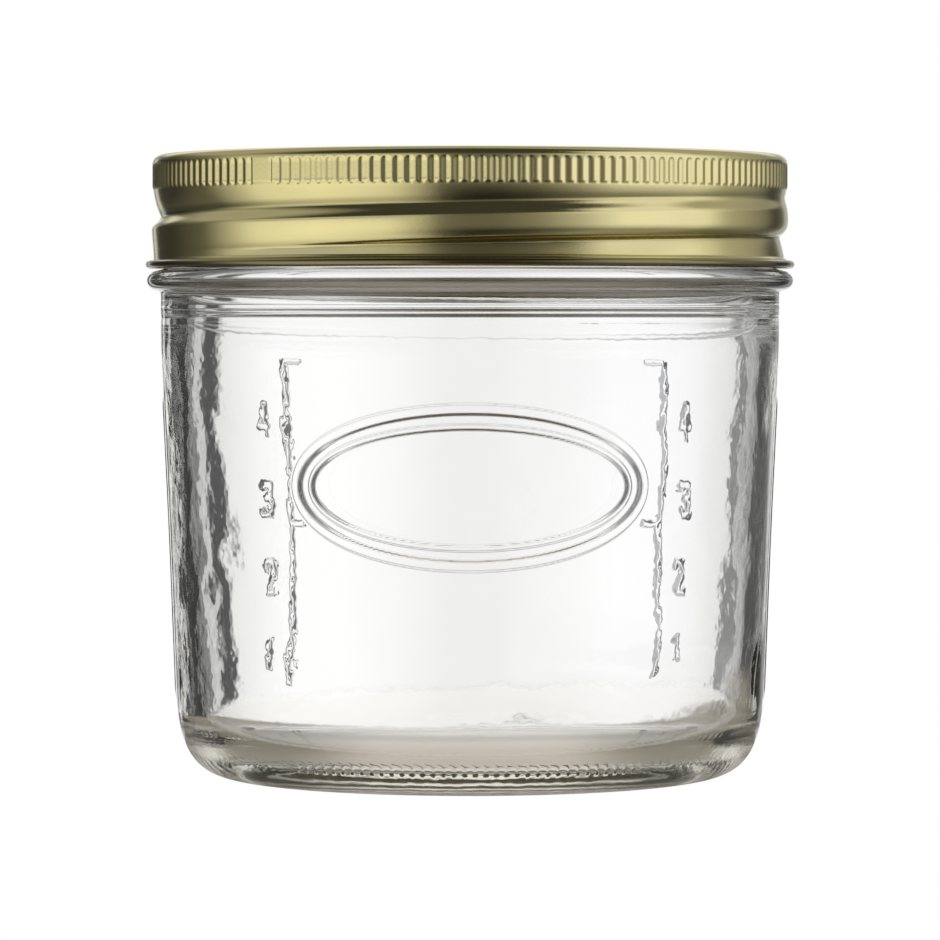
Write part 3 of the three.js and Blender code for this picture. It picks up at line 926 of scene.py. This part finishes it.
def vacuum_disc():
    panel = DISC_TOP - TINPLATE - PANEL_RECESS
    under = DISC_TOP - TINPLATE
    shares = np.linspace(0.0, 1.0, 24)
    dome = BUTTON_HEIGHT * (1.0 - shares ** 2) ** BUTTON_POWER
    button = np.column_stack([shares * BUTTON_RADIUS, panel + dome])
    bead_centre = RING_SEAT - PANEL_BEAD_INSET
    across = np.linspace(-1.0, 1.0, 16)
    bead = np.column_stack([
        bead_centre + across * PANEL_BEAD_HALF_WIDTH,
        panel + PANEL_BEAD_HEIGHT * bell(across, 1.0),
    ])

    def spacing_at(radius, height):
        return np.where(radius > bead_centre - 3 * MM, 0.3 * MM, 0.8 * MM)

    pressing = softened(join(
        button,
        bead,
        (PANEL_EDGE, panel),
        (RING_SEAT, under),
        (RING_SEAT + 1.0 * MM, under),
    ), PRESSING_SOFTNESS)
    pressing = spaced(pressing, spacing_at)
    bend_radius = DISC_RADIUS - DISC_BEND
    rim_start = RING_SEAT + 1.2 * MM
    rim = softened(join(
        (rim_start, under),
        arc(bend_radius, DISC_TOP - DISC_BEND, DISC_BEND - TINPLATE, 90, 0),
        (DISC_RADIUS - TINPLATE, DISC_BOTTOM),
        (DISC_RADIUS, DISC_BOTTOM),
        arc(bend_radius, DISC_TOP - DISC_BEND, DISC_BEND, 0, 90),
        (rim_start, DISC_TOP),
    ), DISC_RIM_SOFTNESS, DISC_RIM_BEND_SPACING)
    rim = evenly(rim, DISC_RIM_SPACING)
    face = pressing[::-1] + np.array([0.0, TINPLATE])
    angles = np.arange(DISC_COLUMNS) / DISC_COLUMNS * TURN
    line = join(pressing, rim, face)
    loops = []
    for radius, height in line:
        if radius < ON_AXIS:
            loops.append(np.array([[0.0, 0.0, height]]))
        else:
            loops.append(loop_points(radius, height, angles))
    inside = np.arange(len(line)) < len(pressing)
    return skin("vacuum_disc_shell", loops, disc_lacquer, False, inside)


def sealing_ring():
    inner = RING_SEAT + RING_PLAY
    rounded = SEAL_BOTTOM + RING_ROUND
    section = join(
        arc(inner + RING_ROUND, rounded, RING_ROUND, 180, 270, 8),
        arc(SEAL_RADIUS - RING_ROUND, rounded, RING_ROUND, 270, 360, 8),
        (SEAL_RADIUS, SEAL_TOP),
        (inner, SEAL_TOP),
    )
    angles = np.arange(RING_COLUMNS) / RING_COLUMNS * TURN
    loops = [loop_points(radius, height, angles) for radius, height in section]
    return skin("sealing_ring_band", loops, seal_compound, True)


def carry(piece, node, body):
    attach(piece, body)
    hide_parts(node)


carry(glass_jar(), "glass_jar", "jar")
carry(vacuum_disc(), "vacuum_disc", "disc")
carry(sealing_ring(), "sealing_ring", "disc")
carry(screw_band(), "screw_band", "band")


# Floor, light and camera

FLOOR_SIZE = 100 * MM
FLOOR_CLEAR = 75 * MM
FLOOR_MIDDLE = 10 * MM
PAPER = (0.24, 0.22, 0.18, 1.0)
# Glow of the paper as painted shade from the middle outwards, and as painted light on the open paper behind
# the jar
PAINTED_SHADE_TONES = [(0.0, (0.5, 0.45, 0.4)), (1.0, (0.2, 0.187, 0.15))]
PAINTED_LIGHT_PAPER = (0.92, 0.92, 0.92, 1.0)
PAINTED_SHADE_FADE = (12 * MM, 30 * MM)
PAINTED_LIGHT_FROM = (31 * MM, 41 * MM)
PAINTED_LIGHT_SIDES = (52 * MM, 66 * MM)
WHITE_SHARE = 0.95
WHITE_STRENGTH = 1.04


def floor():
    angles = np.arange(96) / 96 * TURN
    radii = np.linspace(FLOOR_SIZE, FLOOR_MIDDLE, 12)
    loops = [loop_points(radius, 0.0, angles) for radius in radii] + [np.array([[0.0, 0.0, 0.0]])]
    material, nodes, links, shader = new_material("floor_paper")
    shader.inputs["Base Color"].default_value = PAPER
    shader.inputs["Roughness"].default_value = 0.9
    shader.inputs["Specular IOR Level"].default_value = 0.1
    place = nodes.new("ShaderNodeTexCoord").outputs["Object"]
    distance = nodes.new("ShaderNodeVectorMath")
    distance.operation = "LENGTH"
    links.new(place, distance.inputs[0])

    def fade(value, span, first=0.0, last=1.0):
        return map_node(nodes, links, value, first, last, *span, smooth=True)

    def blend(share, first, second):
        node = nodes.new("ShaderNodeMixShader")
        if isinstance(share, float):
            node.inputs["Fac"].default_value = share
        else:
            links.new(share, node.inputs["Fac"])
        links.new(first, node.inputs[1])
        links.new(second, node.inputs[2])
        return node.outputs["Shader"]

    # The paper glows with painted light: white behind the jar, as if lit from behind, and a dim taupe of
    # painted shade beside and under it
    spot = split_node(nodes, links, place)
    aside = math_node(nodes, links, "ABSOLUTE", spot["X"])
    behind = fade(spot["Y"], PAINTED_LIGHT_FROM)
    between = fade(aside, PAINTED_LIGHT_SIDES, 1.0, 0.0)
    painted_light_share = math_node(nodes, links, "MULTIPLY", behind, between)
    painted_shade_glow = ramp_node(nodes, links, fade(aside, PAINTED_SHADE_FADE), PAINTED_SHADE_TONES)
    tint = mix_node(nodes, links, painted_light_share, painted_shade_glow, PAINTED_LIGHT_PAPER)
    # The glow is painted light and shade, though the paper is no lamp
    links.new(tint, shader.inputs["Emission Color"])
    shader.inputs["Emission Strength"].default_value = 1.0
    # Seen straight, the paper is nearly as white as the background, and it fades out towards its edge
    white = nodes.new("ShaderNodeEmission")
    white.inputs["Strength"].default_value = WHITE_STRENGTH
    clear = nodes.new("ShaderNodeBsdfTransparent").outputs["BSDF"]
    seen = nodes.new("ShaderNodeLightPath").outputs["Is Camera Ray"]
    paper = shader.outputs["BSDF"]
    bright_paper = blend(WHITE_SHARE, paper, white.outputs["Emission"])
    surface = blend(seen, paper, bright_paper)
    edge = fade(distance.outputs["Value"], (FLOOR_CLEAR, FLOOR_SIZE))
    links.new(blend(edge, surface, clear), nodes["Material Output"].inputs["Surface"])
    ground = skin("floor", loops, material)


# Brightness of the studio by angle round the jar from straight behind it, left negative.
# Near the horizon, dark cards stand at both sides of the white backdrop.
LOW_PANELS = [
    (-180, 0.15), (-170, 0.17), (-160, 0.65), (-151, 1.0), (-125, 1.1), (-97, 0.95), (-84, 0.5),
    (-70, 0.12), (-45, 0.04), (-22, 0.05), (-21.2, 0.85), (-17, 0.95), (-16.4, 0.05), (-12.5, 0.05),
    (-12, 1.0), (11.3, 1.0), (11.8, 0.25), (14.5, 0.25), (15, 0.6), (20, 0.5), (24, 0.16), (28, 0.1),
    (37, 0.05), (48, 0.22), (75, 0.5), (87, 1.15), (123, 1.25), (140, 0.6), (154, 0.28), (170, 0.16),
    (180, 0.15),
]
HIGH_PANELS = [
    (-180, 0.12), (-170, 0.18), (-157, 0.6), (-123, 0.75), (-97, 0.65), (-70, 0.2), (-40, 0.06),
    (-18, 0.2), (-12, 0.5), (12, 0.5), (18, 0.4), (40, 0.3), (70, 0.5), (90, 1.22), (123, 1.22),
    (140, 0.8), (154, 0.32), (168, 0.15), (180, 0.12),
]
GROUND_PANELS = [
    (-180, 0.03), (-170, 0.06), (-160, 0.45), (-150, 0.8), (-123, 1.0), (-97, 0.9), (-84, 0.5),
    (-70, 0.12), (-30, 0.2), (-12, 0.65), (12, 0.65), (30, 0.2), (60, 0.15), (75, 0.2), (90, 0.32),
    (123, 0.32), (140, 0.15), (154, 0.06), (170, 0.03), (180, 0.03),
]
CEILING_PANELS = [
    (-180, 0.05), (-110, 0.05), (-75, 0.45), (-25, 0.4), (25, 0.4), (75, 0.45), (110, 0.05), (180, 0.05),
]
# The low and high panels on the right are cooler than the rest
NEUTRAL = (1.0, 1.0, 1.0)
COOL = (0.88, 0.885, 1.0)
TINTS = [(-180, NEUTRAL), (72, NEUTRAL), (90, COOL), (130, COOL), (150, NEUTRAL), (180, NEUTRAL)]
# Shares by height above the horizon, in degrees: of the ground, of the high panels against the low ones,
# and of the ceiling
GROUND_SHARE = [(-90, 1.0), (-30, 1.0), (-7, 0.0), (90, 0.0)]
HIGH_SHARE = [(-90, 0.0), (7.5, 0.0), (10.5, 1.0), (90, 1.0)]
CEILING_SHARE = [(-90, 0.0), (18, 0.0), (30, 1.0), (90, 1.0)]
# Colour, place round the jar and place in height of a strip light behind and above it, of a grey card
# on the left and of a cooler strip on the right
STRIPS = [
    ((0.9, 0.9, 0.9), [(-180, 0.0), (-30, 0.0), (-22, 1.0), (22, 1.0), (30, 0.0), (180, 0.0)],
     [(-90, 0.0), (13, 0.0), (17, 1.0), (40, 1.0), (46, 0.0), (90, 0.0)]),
    ((0.53, 0.545, 0.63), [(-180, 0.0), (-165, 0.0), (-155, 1.0), (-90, 1.0), (-80, 0.0), (180, 0.0)],
     [(-90, 0.0), (1, 0.0), (4, 1.0), (14, 1.0), (20, 0.0), (90, 0.0)]),
    ((0.95, 0.955, 1.08), [(-180, 0.0), (80, 0.0), (92, 1.0), (126, 1.0), (140, 0.0), (180, 0.0)],
     [(-90, 0.0), (20, 0.0), (24, 1.0), (44, 1.0), (52, 0.0), (90, 0.0)]),
]
BRIGHTEST = 2.0
FULL_ROUND = 360
FULL_HEIGHT = 180


def studio():
    world = bpy.data.worlds.new("studio")
    world.use_nodes = True
    nodes = world.node_tree.nodes
    links = world.node_tree.links
    direction = split_node(nodes, links, nodes.new("ShaderNodeTexCoord").outputs["Generated"])
    around = math_node(nodes, links, "ARCTAN2", direction["X"], direction["Y"])
    around = math_node(nodes, links, "MULTIPLY_ADD", around, 1.0 / TURN, 0.5)
    upward = math_node(nodes, links, "ARCSINE", direction["Z"])
    upward = math_node(nodes, links, "MULTIPLY_ADD", upward, 1.0 / math.pi, 0.5)

    def round_ramp(table, scale):
        stops = [(0.5 + place / FULL_ROUND, (level / scale,) * 3) for place, level in table]
        return ramp_node(nodes, links, around, stops)

    def height_ramp(table):
        stops = [(0.5 + place / FULL_HEIGHT, (level,) * 3) for place, level in table]
        return ramp_node(nodes, links, upward, stops)

    def blend(share, first, second):
        return mix_node(nodes, links, share, first, second)

    low = round_ramp(LOW_PANELS, BRIGHTEST)
    high = round_ramp(HIGH_PANELS, BRIGHTEST)
    panels = blend(height_ramp(HIGH_SHARE), low, high)
    tint_stops = [(0.5 + place / FULL_ROUND, colour) for place, colour in TINTS]
    tint = ramp_node(nodes, links, around, tint_stops)
    tinted = nodes.new("ShaderNodeVectorMath")
    tinted.operation = "MULTIPLY"
    links.new(panels, tinted.inputs[0])
    links.new(tint, tinted.inputs[1])
    ceiling = round_ramp(CEILING_PANELS, BRIGHTEST)
    light = blend(height_ramp(CEILING_SHARE), tinted.outputs["Vector"], ceiling)
    ground = round_ramp(GROUND_PANELS, BRIGHTEST)
    light = blend(height_ramp(GROUND_SHARE), light, ground)
    for colour, place_around, place_upward in STRIPS:
        round_share = round_ramp(place_around, 1.0)
        share = math_node(nodes, links, "MULTIPLY", round_share, height_ramp(place_upward))
        light = blend(share, light, (*[level / BRIGHTEST for level in colour], 1.0))
    # Seen straight, the background is plain white
    background = nodes["Background"]
    background.inputs["Strength"].default_value = BRIGHTEST
    links.new(light, background.inputs["Color"])
    white = nodes.new("ShaderNodeBackground")
    white.inputs["Color"].default_value = (1.0, 1.0, 1.0, 1.0)
    choose = nodes.new("ShaderNodeMixShader")
    path = nodes.new("ShaderNodeLightPath")
    links.new(path.outputs["Is Camera Ray"], choose.inputs["Fac"])
    links.new(background.outputs["Background"], choose.inputs[1])
    links.new(white.outputs["Background"], choose.inputs[2])
    links.new(choose.outputs["Shader"], nodes["World Output"].inputs["Surface"])
    scene = bpy.context.scene
    scene.world = world
    scene.view_settings.view_transform = "Standard"


FRAME_PIXELS = 940
EYE_DISTANCE = 790 * MM
EYE_HEIGHT = 71.2 * MM
AIM_HEIGHT = 47.2 * MM
PIXELS_PER_METRE = 6460


def camera():
    data = bpy.data.cameras.new("camera")
    data.sensor_width = 36.0
    data.lens = PIXELS_PER_METRE * EYE_DISTANCE / FRAME_PIXELS * data.sensor_width
    data.clip_start = 0.01
    eye = bpy.data.objects.new("camera", data)
    eye.location = (0.0, -EYE_DISTANCE, EYE_HEIGHT)
    look = Vector((0.0, 0.0, AIM_HEIGHT)) - eye.location
    eye.rotation_euler = look.to_track_quat("-Z", "Y").to_euler()
    bpy.context.scene.collection.objects.link(eye)
    bpy.context.scene.camera = eye


floor()
studio()
camera()

cycles = bpy.context.scene.cycles
cycles.max_bounces = 24
cycles.transmission_bounces = 24
cycles.glossy_bounces = 12
cycles.transparent_max_bounces = 24
